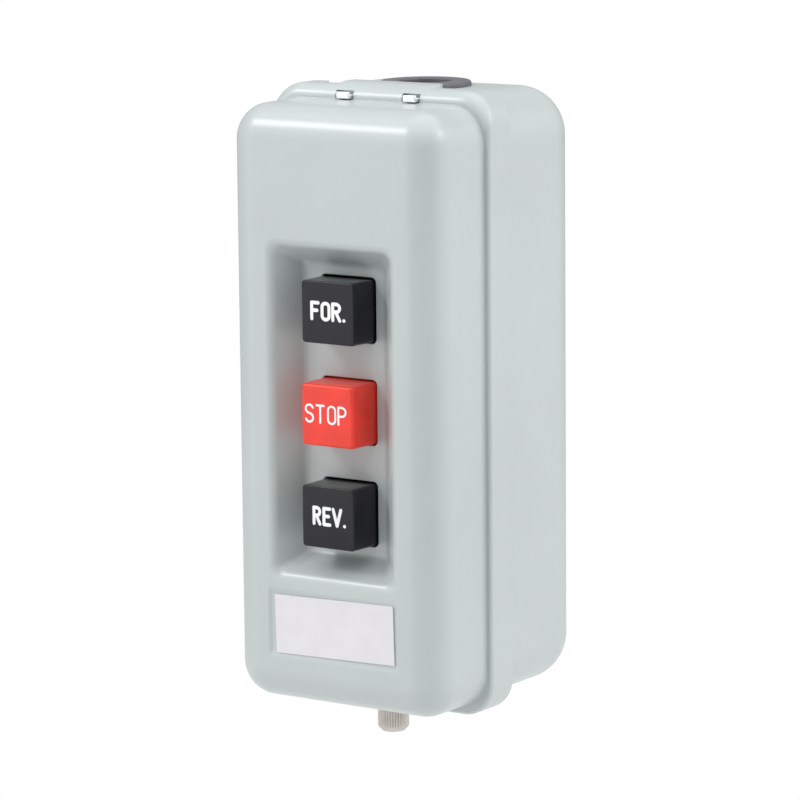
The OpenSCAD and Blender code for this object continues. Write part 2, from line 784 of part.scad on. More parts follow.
// One contact bridge for each pole, with two tips towards the fixed contacts.
module bridges(row)
    for (pole = poles)
        translate([pole * pole_pitch, row, bridge_back - seat]) {
            translate([-bridge_w / 2, -tip_h - bridge_over, 0])
                cube([bridge_w, 2 * (tip_h + bridge_over), bridge_t]);
            for (side = [-1, 1])
                translate([0, side * tip_h, -tip_t]) cylinder(h = tip_t + bridge_t / 2, d = tip_d);
        }

module forward_key() color(black_key) upright() key(row_forward, forward_key_low, key_face_r);
module stop_key() color(red_key) upright() key(row_stop, 0, stop_face_r);
module reverse_key() color(black_key) upright() key(row_reverse, 0, key_face_r);

// A key cap: a tapering block with a soft edge round its face and a socket for the stem.
module key(row, low, face_r) {
    face = case_depth + key_proud - low;
    translate([0, row, 0])
        difference() {
            hull() {
                for (x = [-1, 1], y = [-1, 1]) {
                    translate([x * (key_w / 2 - key_corner_r), y * (key_h / 2 - key_corner_r), 0])
                        rotate_extrude($fn = cap_sides)
                            polygon(concat([[0, floor_out], [key_corner_r, floor_out]],
                                arc([key_corner_r - face_r, face - face_r], face_r, 0, 90),
                                [[0, face]]));
                    translate([x * (key_base_w / 2 - key_corner_r),
                            y * (key_base_h / 2 - key_corner_r), key_foot])
                        cylinder(h = floor_out - key_foot, r = key_corner_r, $fn = cap_sides);
                }
            }
            translate([0, 0, key_foot - over]) cylinder(h = socket_depth + over, d = stem_d + 2 * fit);
        }
}

// A coil of round wire standing on z = 0, swept as one unbroken tube.
module coil(radius, wire, length, turns) {
    rings = turns * coil_rings;
    rise = (length - wire) / rings;
    flank = atan(rise * coil_rings / (2 * PI * radius));
    points = [for (i = [0 : rings], k = [0 : coil_sides - 1])
        let (a = 360 * i / coil_rings, b = 360 * k / coil_sides,
             out = radius + wire / 2 * cos(b), up = wire / 2 * sin(b))
            [out * cos(a) + up * sin(flank) * sin(a), out * sin(a) - up * sin(flank) * cos(a),
             wire / 2 + i * rise + up * cos(flank)]];
    sides = [for (i = [0 : rings - 1], k = [0 : coil_sides - 1], half = [0, 1])
        let (p = i * coil_sides + k, q = i * coil_sides + (k + 1) % coil_sides)
            half == 0 ? [p, p + coil_sides, q] : [q, p + coil_sides, q + coil_sides]];
    first = [for (k = [1 : coil_sides - 2]) [0, k, k + 1]];
    last = [for (k = [1 : coil_sides - 2])
        let (p = rings * coil_sides) [p, p + k + 1, p + k]];
    polyhedron(points, concat(sides, first, last));
}

module key_spring(row)
    translate([0, row, roof_front + seat])
        coil(spring_r, spring_wire, key_foot - roof_front - 2 * seat, spring_turns);

module forward_spring() color(plated) upright() key_spring(row_forward);
module stop_spring() color(plated) upright() key_spring(row_stop);
module reverse_spring() color(plated) upright() key_spring(row_reverse);

module latch_spring() color(plated) upright()
    translate([0, latch_top + seat, latch_front + latch_tab_h / 2])
        standing()
            coil(latch_spring_r, latch_spring_wire,
                latch_spring_l, ceil(latch_spring_l / latch_spring_lead));

base_box();
cable_grommet();
hook_strip();
captive_nut();
earth_washer();
earth_screw();
contact_base();
chassis_screws();
upper_contacts();
middle_contacts();
lower_contacts();
terminal_washers();
terminal_screws();
guide_hood();
hood_screws();
latch_plate();
latch_spring();
forward_key();
forward_plunger();
forward_bridges();
forward_spring();
stop_key();
stop_plunger();
stop_spring();
reverse_key();
reverse_plunger();
reverse_bridges();
reverse_spring();
front_cover();
name_plate();
thumb_screw();
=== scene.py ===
# %% [markdown]
# # Three-key reversing pushbutton switch
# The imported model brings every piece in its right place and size. This script gives the pieces
# their finish and replaces those whose real surface is softer or finer than the model's: the two
# drawn steel parts, the key caps, the plate, the grommet, the hooks, the knurled screw and the
# springs. The contact block and its fasteners are seen only when the cover is off, so they keep
# the model's meshes and only get a finish.
#
# The lengths of pieces are in millimetres until a mesh is made. The camera, the lamps and the
# floor are in metres. A point is written as (x, distance from the wall, height), and the wall is
# the plane y = 0.

# %% Load the model
import json
import math

import bmesh
import bpy
from mathutils import Matrix, Vector


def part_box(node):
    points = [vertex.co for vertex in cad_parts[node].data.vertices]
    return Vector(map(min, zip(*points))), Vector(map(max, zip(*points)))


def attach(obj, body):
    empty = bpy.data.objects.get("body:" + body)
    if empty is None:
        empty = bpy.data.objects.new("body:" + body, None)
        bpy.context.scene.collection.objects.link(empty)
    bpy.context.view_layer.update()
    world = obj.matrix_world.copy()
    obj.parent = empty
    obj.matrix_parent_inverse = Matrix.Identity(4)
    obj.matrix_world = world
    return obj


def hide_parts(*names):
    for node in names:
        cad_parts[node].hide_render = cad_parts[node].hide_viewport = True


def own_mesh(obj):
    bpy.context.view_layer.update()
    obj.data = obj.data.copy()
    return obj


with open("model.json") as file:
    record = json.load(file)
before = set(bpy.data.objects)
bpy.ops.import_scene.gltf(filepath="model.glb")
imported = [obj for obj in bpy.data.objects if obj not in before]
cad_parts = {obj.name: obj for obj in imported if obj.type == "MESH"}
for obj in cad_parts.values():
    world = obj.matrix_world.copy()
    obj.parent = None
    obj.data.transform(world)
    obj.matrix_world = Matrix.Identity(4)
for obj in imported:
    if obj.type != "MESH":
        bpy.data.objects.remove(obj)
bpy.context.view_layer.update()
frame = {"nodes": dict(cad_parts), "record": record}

MM = 0.001
print("pieces in the model:", len(frame["nodes"]))


def edges_of(node):
    """The lowest and highest corner of a piece as (x, distance from the wall, height) in mm."""
    low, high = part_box(node)
    return ((low[0] / MM, -high[1] / MM, low[2] / MM), (high[0] / MM, -low[1] / MM, high[2] / MM))


# %% [markdown]
# ## Camera
# The switch was photographed from its right and a little above with a long lens, so its upright
# edges stay nearly parallel. A camera could be placed by eye, but then no edge would fall where
# the photograph has it. Here the place, the tilt and the lens come from a fit to the case's edges.

# %% Camera
TURN, RISE, ROLL = math.radians(34.54), math.radians(9.41), math.radians(0.54)
AIM, DISTANCE = Vector((0, -0.035, 0)), 0.98507
PICTURE, FOCAL = 800, 4069.99  # width of the photograph and focal length, in its pixels
SHIFT_X, SHIFT_Y = 1.4, -6.01  # how far the switch stands off the middle, in pixels

back = Vector((math.sin(TURN) * math.cos(RISE), -math.cos(TURN) * math.cos(RISE), math.sin(RISE)))
level = Vector((math.cos(TURN), math.sin(TURN), 0))
upright = back.cross(level)
right = level * math.cos(ROLL) - upright * math.sin(ROLL)
up = level * math.sin(ROLL) + upright * math.cos(ROLL)

lens = bpy.data.cameras.new("camera")
lens.sensor_width = 36
lens.lens = FOCAL * lens.sensor_width / PICTURE
lens.shift_x = SHIFT_X / PICTURE
lens.shift_y = SHIFT_Y / PICTURE
lens.clip_end = 100
camera = bpy.data.objects.new("camera", lens)
bpy.context.collection.objects.link(camera)
camera.matrix_world = Matrix.Translation(AIM + back * DISTANCE) @ Matrix(
    (right, up, back)).transposed().to_4x4()
bpy.context.scene.camera = camera
print("lens", round(lens.lens, 1), "mm")


# %% [markdown]
# ## Writing finishes as sums
# A finish is a small net of shader nodes. Nodes can be placed and joined one by one, but then the
# idea of a finish is lost in a list. `Wire` stands for one value that varies over a surface, so a
# finish can be written as a sum, and each sum adds its own Math nodes.

# %% Wires and nets
class Wire:
    """A socket of a net, which can be added, multiplied and mixed."""

    def __init__(self, net, socket):
        self.net, self.socket = net, socket

    def _math(self, operation, a, b):
        node = self.net.add("ShaderNodeMath", {"operation": operation}, {0: a, 1: b})
        return node.out(0)

    def __add__(self, other):
        return self._math("ADD", self, other)

    def __radd__(self, other):
        return self._math("ADD", other, self)

    def __mul__(self, other):
        return self._math("MULTIPLY", self, other)

    def __rmul__(self, other):
        return self._math("MULTIPLY", other, self)

    def step(self, low, high):
        """0 below low, 1 above high and a soft rise between them."""
        return self.net.add("ShaderNodeMapRange", {"interpolation_type": "SMOOTHSTEP"},
                            {"Value": self, "From Min": low, "From Max": high}).out(0)

    def colours(self, first, second):
        """The first colour where this is 0 and the second where it is 1."""
        node = self.net.add("ShaderNodeMix", {"data_type": "RGBA"},
                            {"Factor": self, 6: (*first, 1), 7: (*second, 1)})
        return node.out(2)


class Node:
    """A node of a net, whose outputs are asked for by name or number."""

    def __init__(self, net, node):
        self.net, self.node = net, node

    def out(self, key):
        return Wire(self.net, self.node.outputs[key])


class Net:
    """The nodes of one material."""

    def __init__(self, name):
        self.material = bpy.data.materials.new(name)
        self.material.use_nodes = True
        self.tree = self.material.node_tree
        self.tree.nodes.clear()

    def add(self, kind, settings=None, sockets=None):
        node = self.tree.nodes.new(kind)
        for key, value in (settings or {}).items():
            setattr(node, key, value)
        for key, value in (sockets or {}).items():
            if isinstance(value, Wire):
                self.tree.links.new(value.socket, node.inputs[key])
            else:
                node.inputs[key].default_value = value
        return Node(self, node)

    def place(self):
        return self.add("ShaderNodeTexCoord").out("Object")

    def stretched(self, scale):
        return self.add("ShaderNodeMapping", None, {"Vector": self.place(), "Scale": scale}).out(0)

    def noise(self, size_mm, detail=3.0, at=None):
        """Soft noise between 0 and 1 whose lumps are about size_mm across."""
        return self.add("ShaderNodeTexNoise", None,
                        {"Vector": at or self.place(), "Scale": 1000 / size_mm,
                         "Detail": detail}).out(0)

    def bump(self, height, depth_mm, strength=1.0):
        return self.add("ShaderNodeBump", None,
                        {"Height": height, "Distance": depth_mm * MM,
                         "Strength": strength}).out(0)

    def surface(self, **sockets):
        named = {key.replace("_", " "): value for key, value in sockets.items()}
        shader = self.add("ShaderNodeBsdfPrincipled", None, named)
        self.add("ShaderNodeOutputMaterial", None, {0: shader.out(0)})
        return self.material


def shade(colour, by):
    return tuple(c * by for c in colour)


# %% [markdown]
# ## Enamel
# The case is steel sheet with a stoved enamel. The enamel is light grey with a touch of green,
# pools a little, and dries with a faint skin like that of an orange. Its body scatters light
# softly and its surface reflects the lamps, so it has a rough base under a smoother coat. One
# smooth surface would give the sharp reflections of a car's paint instead.

# %% Enamel
def enamel():
    net = Net("grey enamel")
    cloud = net.noise(38, 4).step(0.3, 0.7)
    speck = net.noise(0.45, 2)
    colour = (cloud * 0.75 + speck * 0.25).colours((0.455, 0.498, 0.492), (0.485, 0.528, 0.524))
    skin = net.noise(1.1, 2) + net.noise(9.0, 1) * 1.6
    return net.surface(
        Base_Color=colour, Roughness=0.46 + cloud * 0.06, IOR=1.5, Coat_Weight=0.75 + speck * 0.1,
        Coat_Roughness=0.26, Normal=net.bump(skin, 0.010, 0.5))


# %% [markdown]
# ## Plastics, rubber and the white plate
# The key caps are moulded: even in colour, with the fine grain of a spark-cut mould and a few
# rubbed patches. The rubber of the grommet is duller and dusty. The plate is a thin white sheet
# with a satin coat. A picture of real grain would repeat itself, but noise never does.

# %% Mouldings
def moulded(name, colour, rough, grain_mm=0.16, grain_depth=0.006, dust=0.0, even=0.92, ior=1.5):
    net = Net(name)
    patch = net.noise(5.5, 3).step(0.35, 0.7)
    fine = net.noise(0.5, 2)
    pale = tuple(c + dust for c in shade(colour, 2.04 - even))
    mixed = (patch * 0.6 + fine * 0.4).colours(shade(colour, even), pale)
    return net.surface(
        Base_Color=mixed, Roughness=rough + patch * 0.07 + fine * 0.03, IOR=ior,
        Normal=net.bump(net.noise(grain_mm, 1), grain_depth, 0.6))


# %% [markdown]
# ## Metals
# Zinc plating is bright with a cloudy bloom, and the screw is of duller nickel. Rolled brass
# carries lines along its length, so its noise is stretched that way. The lines also roughen the
# surface and stand up a few thousandths of a millimetre.

# %% Metals
def metal(name, colour, rough, lines=(1, 1, 1), line_mm=0.8, bloom=0.1):
    net = Net(name)
    cloud = net.noise(3.5, 4).step(0.3, 0.75)
    streak = net.noise(line_mm, 3, net.stretched(lines))
    mixed = (cloud * 0.5 + streak * 0.5).colours(shade(colour, 1 - bloom), shade(colour, 1 + bloom))
    return net.surface(
        Base_Color=mixed, Metallic=1.0, Roughness=rough + streak * 0.12 + cloud * 0.05,
        Normal=net.bump(streak, 0.004, 0.5))


# %% [markdown]
# ## A finish for every piece
# The record of the model names a material for each piece. Every piece gets its finish here, so
# that none is left plain. The pieces that are replaced further on get theirs again with the new
# mesh.

# %% Finishes
finish = {
    "case_paint": enamel(),
    "black_rubber": moulded("dusty rubber", (0.120, 0.114, 0.130), 0.50, 0.3, 0.012, dust=0.01),
    "zinc_plate": metal("zinc plate", (0.90, 0.90, 0.90), 0.42, bloom=0.05),
    "black_moulding": moulded("black phenolic", (0.018, 0.017, 0.017), 0.38, dust=0.004),
    "contact_brass": metal("rolled brass", (0.80, 0.58, 0.26), 0.26, (1, 1, 0.08)),
    "brown_moulding": moulded("brown phenolic", (0.060, 0.028, 0.016), 0.36, dust=0.004),
    "spring_steel": metal("spring wire", (0.50, 0.50, 0.51), 0.25),
    "black_key": moulded("black key plastic", (0.009, 0.0085, 0.013), 0.17,
                         grain_depth=0.003, dust=0.001, ior=1.36),
    "red_key": moulded("red key plastic", (0.80, 0.044, 0.026), 0.28, grain_depth=0.002, ior=1.42),
    "white_plate": moulded("white sheet", (0.70, 0.68, 0.71), 0.45, 0.9, 0.003, even=0.985),
    "screw_steel": metal("dull nickel", (0.58, 0.54, 0.51), 0.34),
    "legend_white": moulded("legend paint", (0.86, 0.86, 0.88), 0.45, 0.3, 0.004),
}
for part in frame["record"]["subparts"]:
    piece = frame["nodes"][part["node"]]
    piece.data.materials.clear()
    piece.data.materials.append(finish[part["material_slot"]])
    piece.data.shade_smooth()
    piece.data.set_sharp_from_angle(angle=math.radians(30))
print("finishes:", len(finish))


# %% [markdown]
# ## Rings
# Everything drawn or moulded here is a skin stretched over rings: rounded rectangles with the
# same number of points, one inside or behind the other. Neighbouring rings are joined by quads.
# Bevels and subdivision would be less work, but rings put every radius where the press tool or
# the mould has it.

# %% Rings
def arc(radius, start, end, steps):
    """Points of an arc round (0, 0), angles in degrees."""
    angles = [math.radians(start + (end - start) * i / steps) for i in range(steps + 1)]
    return [(radius * math.cos(a), radius * math.sin(a)) for a in angles]


def rounded_ring(half_w, half_h, radius, out, mid=(0, 0), across=96, along=24, bend=12):
    """A rounded rectangle facing the user, at a distance from the wall, as (x, out, height)."""
    points = []
    for index, (sx, sz) in enumerate(((1, 1), (-1, 1), (-1, -1), (1, -1))):
        cx, cz = sx * (half_w - radius), sz * (half_h - radius)
        corner = [(cx + x, cz + z) for x, z in arc(radius, 90 * index, 90 * index + 90, bend)]
        nx, nz = ((-1, 1), (-1, -1), (1, -1), (1, 1))[index]
        after = (nx * (half_w - radius) + (0, -radius, 0, radius)[index],
                 nz * (half_h - radius) + (radius, 0, -radius, 0)[index])
        steps = (across, along)[index % 2]
        last = corner[-1]
        points += corner
        points += [(last[0] + (after[0] - last[0]) * i / steps,
                    last[1] + (after[1] - last[1]) * i / steps) for i in range(1, steps)]
    return [(x + mid[0], out, z + mid[1]) for x, z in points]


print("points in one ring:", len(rounded_ring(10, 10, 1, 0)))

# %% Skins
def to_world(p):
    return Vector((p[0] * MM, -p[1] * MM, p[2] * MM))


def skin(name, rings, cap_first=False, cap_last=False):
    """A mesh object over rings of equal length."""
    mesh = bmesh.new()
    rows = [[mesh.verts.new(to_world(p)) for p in ring] for ring in rings]
    count = len(rows[0])
    for one, two in zip(rows, rows[1:]):
        for i in range(count):
            j = (i + 1) % count
            mesh.faces.new((one[i], one[j], two[j], two[i]))
    if cap_first:
        mesh.faces.new(rows[0][::-1])
    if cap_last:
        mesh.faces.new(rows[-1])
    return as_object(name, mesh)


def as_object(name, mesh):
    bmesh.ops.recalc_face_normals(mesh, faces=mesh.faces)
    data = bpy.data.meshes.new(name)
    mesh.to_mesh(data)
    mesh.free()
    piece = bpy.data.objects.new(name, data)
    bpy.context.collection.objects.link(piece)
    return piece


# %% [markdown]
# ## Changing, dressing and cutting
# A modifier is applied as soon as it is made, so that the next step works on the real points.
# A piece is pierced with tools of the shape of its punches, by exact booleans, which keep the
# edges clean where a tool's face lies close to the sheet's.

# %% Changing and dressing
def apply(piece, kind, **settings):
    """Adds a modifier and makes its result the piece's own mesh."""
    change = piece.modifiers.new(kind, kind)
    for key, value in settings.items():
        setattr(change, key, value)
    with bpy.context.temp_override(object=piece, active_object=piece, selected_objects=[piece]):
        bpy.ops.object.modifier_apply(modifier=change.name)


def cut(piece, *tools):
    """Takes each tool's shape out of the piece and throws the tool away."""
    for tool in tools:
        apply(piece, "BOOLEAN", operation="DIFFERENCE", solver="EXACT", object=tool)
        bpy.data.objects.remove(tool)


def dress(piece, node, body, material, angle=32, weighted=False):
    """Gives a piece its finish and lets it stand for a node of the model."""
    piece.data.materials.clear()
    piece.data.materials.append(finish[material])
    piece.data.shade_smooth()
    piece.data.set_sharp_from_angle(angle=math.radians(angle))
    if weighted:
        apply(piece, "WEIGHTED_NORMAL", weight=60, keep_sharp=True)
    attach(piece, body)
    if node:
        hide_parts(node)
    return piece


def ease(value, low, high):
    """0 up to low, 1 from high on, with a soft rise between."""
    t = min(max((value - low) / (high - low), 0), 1)
    return t * t * (3 - 2 * t)


# %% Tools to cut with
def box_tool(low, high, radius=0.0, bend=4):
    """A block to cut with, from one corner to the other, its corners rounded as seen in front."""
    half = ((high[0] - low[0]) / 2, (high[2] - low[2]) / 2)
    mid = ((high[0] + low[0]) / 2, (high[2] + low[2]) / 2)
    rings = [rounded_ring(*half, max(radius, 0.01), out, mid, 1, 1, bend)
             for out in (low[1], high[1])]
    return skin("tool", rings, True, True)


def round_tool(radius, low, high, axis, sides=64):
    """A rod to cut with. Its axis is 'out' or 'up' and passes through low and high."""
    circle = arc(radius, 0, 360, sides)[:-1]
    rings = [[(end[0] + a, end[1] + (b if axis == "up" else 0), end[2] + (b if axis == "out" else 0))
              for a, b in circle] for end in (low, high)]
    return skin("tool", rings, True, True)


# %% [markdown]
# ## The cover
# The cover is one sheet of 0.8 mm steel, drawn in two steps: first the rim and the raised front,
# then the recess for the keys, with the shallow panel for the plate and the bridge over the
# grommet. A drawn sheet has no sharp folds, so each turn of the section is an arc. The outer
# skin is made first, ring by ring from the floor of the recess to the rear edge of the rim. Then
# the panel and the bridge are pressed into it point by point, and last it is thickened inwards
# and pierced. A box with bevels would be quicker, but it can't blend one radius into another.
#
# Widths and heights of the cover are halves, measured from the middle.

# %% Sizes of the cover
low, high = edges_of("front_cover")
FRONT, REAR, BRIDGE_TOP = high[1], low[1], high[2]
SHEET, SHOULDER = 0.8, 43.0
RIM_W, RIM_H, RIM_CORNER = 31.9, 75.0, 8.6
RAISED_W, RAISED_H, RAISED_CORNER, RAISED_MID = 30.25, 72.2, 8.7, -0.6
FLAT_W, EDGE = 21.9, 8  # half width of the flat front, and the radius of its edge
KEY_PITCH, KEY_MID = 24.5, -1.1
ROWS = {"forward": KEY_PITCH, "stop": 0, "reverse": -KEY_PITCH}
print("cover:", 2 * RIM_W, "x", 2 * RIM_H, "mm, front at", round(FRONT, 2), "mm from the wall")


# %% [markdown]
# ## The recess
# The punch for the recess has leaning walls, so that it comes out of the sheet again. The floor
# runs into the wall in a small fillet and the wall runs out over a larger soft edge. The right
# wall leans more than the others.

# %% Recess
RECESS, WALL_RUN = 8, 4.8  # depth of the recess, and how far its walls run outwards on the way up
FLOOR = FRONT - RECESS
FLOOR_W, FLOOR_H = 12.45, 35.17
FLOOR_CORNER, CORNER_GROWTH = 1.6, 0.22
FLOOR_R, MOUTH_R = 2.0, 2.6
RIGHT_FOOT, RIGHT_MOUTH = -1.6, 0.6  # how far the right wall is moved out at its foot and mouth
LEAN = math.degrees(math.atan(WALL_RUN / RECESS))


def recess_profile():
    """Steps (growth from the edge of the floor, distance from the wall), from floor to mouth."""
    turn = 90 - LEAN
    foot = -FLOOR_R * math.tan(math.radians(turn / 2))
    mouth = WALL_RUN + MOUTH_R * math.tan(math.radians(turn / 2))
    lower = [(foot + x, FLOOR + FLOOR_R + y) for x, y in arc(FLOOR_R, -90, -LEAN, 10)]
    upper = [(mouth + x, FRONT - MOUTH_R + y) for x, y in arc(MOUTH_R, 90 + turn, 90, 12)]
    wall = [tuple(a + (b - a) * t / 4 for a, b in zip(lower[-1], upper[0])) for t in (1, 2, 3)]
    return lower + wall + upper


def recess_ring(grow, out):
    """The size, corner and middle of the recess at one step of its profile."""
    flare = (RIGHT_FOOT + (RIGHT_MOUTH - RIGHT_FOOT) * (out - FLOOR) / RECESS) / 2
    return (FLOOR_W + grow + flare, FLOOR_H + grow, FLOOR_CORNER + CORNER_GROWTH * max(grow, 0),
            flare, KEY_MID)


recess = []
for grow, out in recess_profile():
    w, h, corner, *mid = recess_ring(grow, out)
    recess.append(rounded_ring(w, h, corner, out, mid))
print("recess:", len(recess), "rings, walls lean", round(LEAN, 1), "degrees")


# %% [markdown]
# ## The raised front
# Between the mouth of the recess and the edge of the flat front the rings blend from one rounded
# rectangle into the other. The edge itself is an arc, and a straight side leads down to the
# shoulder.

# %% Raised front
inner = recess_ring(*recess_profile()[-1])
outer = (FLAT_W, RAISED_H - EDGE, RAISED_CORNER - EDGE, 0, RAISED_MID)
raised = []
for i in range(1, 40):
    w, h, corner, *mid = (a + (b - a) * i / 40 for a, b in zip(inner, outer))
    raised.append(rounded_ring(w, h, corner, FRONT, mid))
for y, x in arc(EDGE, 0, 90, 18):
    raised.append(rounded_ring(FLAT_W + x * (RAISED_W - FLAT_W) / EDGE, RAISED_H - EDGE + x,
                               RAISED_CORNER - EDGE + x, FRONT - EDGE + y, (0, RAISED_MID)))
SIDE_END = SHOULDER + 0.6
for i in range(1, 6):
    out = FRONT - EDGE - (FRONT - EDGE - SIDE_END) * i / 6
    raised.append(rounded_ring(RAISED_W, RAISED_H, RAISED_CORNER, out, (0, RAISED_MID)))
print("raised front:", len(raised), "rings")


# %% [markdown]
# ## The shoulder and the rim
# A tight fillet turns the side into the shoulder. The front edge of the rim was drawn tight along
# the sides and soft over the top, where the sheet had further to flow, so the two arcs are mixed
# by height.

# %% Shoulder and rim
FILLET, FILLET_RISE = 0.3, 0.2
SIDE_R, TOP_R = 1.0, 3.4  # radius of the rim's front edge at the sides and over the top
SOFT_FROM, SOFT_TO = 64, 73  # heights between which the one turns into the other

rim = []
for x, y in arc(FILLET, 180, 250, 4):
    rim.append(rounded_ring(RAISED_W + FILLET + x, RAISED_H + FILLET + x, RAISED_CORNER,
                            SHOULDER + FILLET_RISE + y, (0, RAISED_MID)))


def rim_edge(radius, x, y):
    """The ring at point (x, y) of an arc that rounds the rim's front edge."""
    return rounded_ring(RIM_W - radius + x, RIM_H - radius + x, RIM_CORNER - radius + x,
                        SHOULDER - radius + y)


for (ys, xs), (yt, xt) in zip(arc(SIDE_R, 10, 90, 12), arc(TOP_R, 10, 90, 12)):
    rim.append([tuple(a + (b - a) * ease(p[2], SOFT_FROM, SOFT_TO) for a, b in zip(p, q))
                for p, q in zip(rim_edge(SIDE_R, xs, ys), rim_edge(TOP_R, xt, yt))])
for i in range(1, 17):
    ring = []
    for x, _, z in rounded_ring(RIM_W, RIM_H, RIM_CORNER, 0):
        start = SHOULDER - SIDE_R - (TOP_R - SIDE_R) * ease(z, SOFT_FROM, SOFT_TO)
        ring.append((x, start + (REAR - start) * i / 16, z))
    rim.append(ring)
print("shoulder and rim:", len(rim), "rings")


# %% [markdown]
# ## The panel and the bridge
# The panel for the plate is pressed in by less than half a millimetre, with sloping edges. Over
# the grommet the rim is bulged up into a bridge. Both are moves of the skin's points.

# %% Panel and bridge
PANEL_W, PANEL_TOP, PANEL_FOOT = 19.0, -44.7, -61.2
PANEL_SLOPE, PANEL_DEPTH = 1.1, 0.42
BRIDGE_W, BRIDGE_SLOPE = 14.3, 1.8
BRIDGE_OUT, BRIDGE_RUN = 41.2, 3.4
BRIDGE_FOOT = 1.2  # how far below the rim's top the bulge begins
NEARLY = 0.01


def pressed(p):
    """The skin's point p, moved by the panel under the recess and the bridge over the grommet."""
    x, out, z = p
    if out > FRONT - NEARLY and z < PANEL_TOP + PANEL_SLOPE:
        side = ease(PANEL_W - abs(x), 0, PANEL_SLOPE)
        ends = ease(PANEL_TOP - z, 0, PANEL_SLOPE) * ease(z - PANEL_FOOT, 0, PANEL_SLOPE)
        out -= PANEL_DEPTH * side * ends
    if out < SHOULDER and z > RIM_H - 2 * SIDE_R:
        across = ease(BRIDGE_W - abs(x), 0, BRIDGE_SLOPE) * ease(BRIDGE_OUT - out, 0, BRIDGE_RUN)
        z += (BRIDGE_TOP - RIM_H) * across * ease(z, RIM_H - BRIDGE_FOOT, RIM_H)
    return x, out, z


rings = [[pressed(p) for p in ring] for ring in recess + raised + rim]
cover = skin("cover", rings, cap_first=True)
apply(cover, "SOLIDIFY", thickness=SHEET * MM, offset=-1)
print("cover:", len(cover.data.vertices), "points")


# %% [markdown]
# ## Piercing the cover
# The windows, the two openings for the hooks, the two notches beside the bridge and the slot for
# the screw are pierced last, as in the press. Each window's tool widens at the front, which
# leaves a broken edge that catches the light.

# %% Openings of the cover
PAST, THROUGH = 5, 3  # how far a tool starts outside the rim, and how far it goes in
WINDOW_W, WINDOW_H, WINDOW_R = 7.9, 7.83, 1.2
WINDOW_STEPS = ((0, -3), (0, -0.35), (0.12, -0.1), (0.5, 0.1))  # growth, place in front of the floor
HOOK_X, HOOK_HALF, HOOK_LOW, HOOK_HIGH, HOOK_R = 9.6, 2.6, 71.7, 73.8, 0.3
NOTCH_X, NOTCH_R, NOTCH_OUT = 16.5, 3.7, 34
SCREW_OUT, SCREW_HOLE_R = 38.5, 2.4

windows = [skin("tool", [rounded_ring(WINDOW_W + grow, WINDOW_H + grow, WINDOW_R + grow,
                                      FLOOR + out, (0, KEY_MID + row), 1, 1, 6)
                         for grow, out in WINDOW_STEPS], True, True)
           for row in ROWS.values()]
slots = [box_tool((side * HOOK_X - HOOK_HALF, SHOULDER - THROUGH, HOOK_LOW),
                  (side * HOOK_X + HOOK_HALF, SHOULDER + THROUGH, HOOK_HIGH), HOOK_R)
         for side in (-1, 1)]
notches = [round_tool(NOTCH_R, (side * NOTCH_X, NOTCH_OUT, HOOK_LOW),
                      (side * NOTCH_X, NOTCH_OUT, RIM_H + PAST), "up") for side in (-1, 1)]
under, inside = -RIM_H - PAST, THROUGH - RIM_H
screw_slot = [round_tool(SCREW_HOLE_R, (0, SCREW_OUT, under), (0, SCREW_OUT, inside), "up"),
              box_tool((-SCREW_HOLE_R, REAR - PAST, under), (SCREW_HOLE_R, SCREW_OUT, inside))]
cut(cover, *windows, *slots, *notches, *screw_slot)
dress(cover, "front_cover", "cover", "case_paint", weighted=True)
print("cover, pierced:", len(cover.data.vertices), "points")


# %% [markdown]
# ## The back box
# The box is a deep drawn pan of the same sheet. Its corners are drawn round all the way to the
# back, because sheet steel tears when it is pulled over a sharp punch. The same rings as for the
# cover make it, and then it is pierced for its wall screws, its earth screw, the screws of the
# contact block, the grommet and the thumb screw.

# %% Back box
BOX_EDGE, BOX_CORNER = 11, 11.8
GROMMET_OUT = 22.4

low, high = edges_of("base_box")
half_w, mid_h = high[0], (low[2] + high[2]) / 2
half_h, edge = high[2] - mid_h, high[1]
rings = [rounded_ring(half_w - BOX_EDGE + x, half_h - BOX_EDGE + x, BOX_CORNER - BOX_EDGE + x,
                      BOX_EDGE + y, (0, mid_h), 48, 48, 16)
         for y, x in arc(BOX_EDGE, 180, 90, 20)]
rings += [rounded_ring(half_w, half_h, BOX_CORNER, BOX_EDGE + (edge - BOX_EDGE) * i / 6, (0, mid_h),
                       48, 48, 16) for i in range(1, 7)]
box = skin("back_box", rings, cap_first=True)
apply(box, "SOLIDIFY", thickness=SHEET * MM, offset=-1)

# %% Holes of the box
WALL_HOLE_R, WALL_HOLE_Z = 2.5, 57
EAR_HOLE_R, EAR_HOLES = 1.55, ((14.67, 53.7), (-14.67, -55.9))
EARTH_HOLE_R, EARTH_HOLE = 2.05, (15, -57.1)
BUSH_HOLE_R = 9.5

places = [(WALL_HOLE_R, 0, side * WALL_HOLE_Z) for side in (-1, 1)]
places += [(EAR_HOLE_R, *place) for place in EAR_HOLES] + [(EARTH_HOLE_R, *EARTH_HOLE)]
back_holes = [round_tool(r, (x, -2, z), (x, 2, z), "out") for r, x, z in places]
bush_hole = round_tool(BUSH_HOLE_R, (0, GROMMET_OUT, 70), (0, GROMMET_OUT, 76), "up")
foot_hole = round_tool(SCREW_HOLE_R, (0, SCREW_OUT, -76), (0, SCREW_OUT, -70), "up")
cut(box, *back_holes, bush_hole, foot_hole)
dress(box, "base_box", "case", "case_paint", weighted=True)
print("box:", len(box.data.vertices), "points,", len(places) + 2, "holes")


# %% [markdown]
# ## The keys
# Each key is a moulded cap. It widens a little towards its skirt so that it leaves the mould, and
# its face has a small radius. The stop key's edges are softer. A bevelled cube would give the
# same radius to the corners and the face, which differ here, so a cap is a skin over rings too.

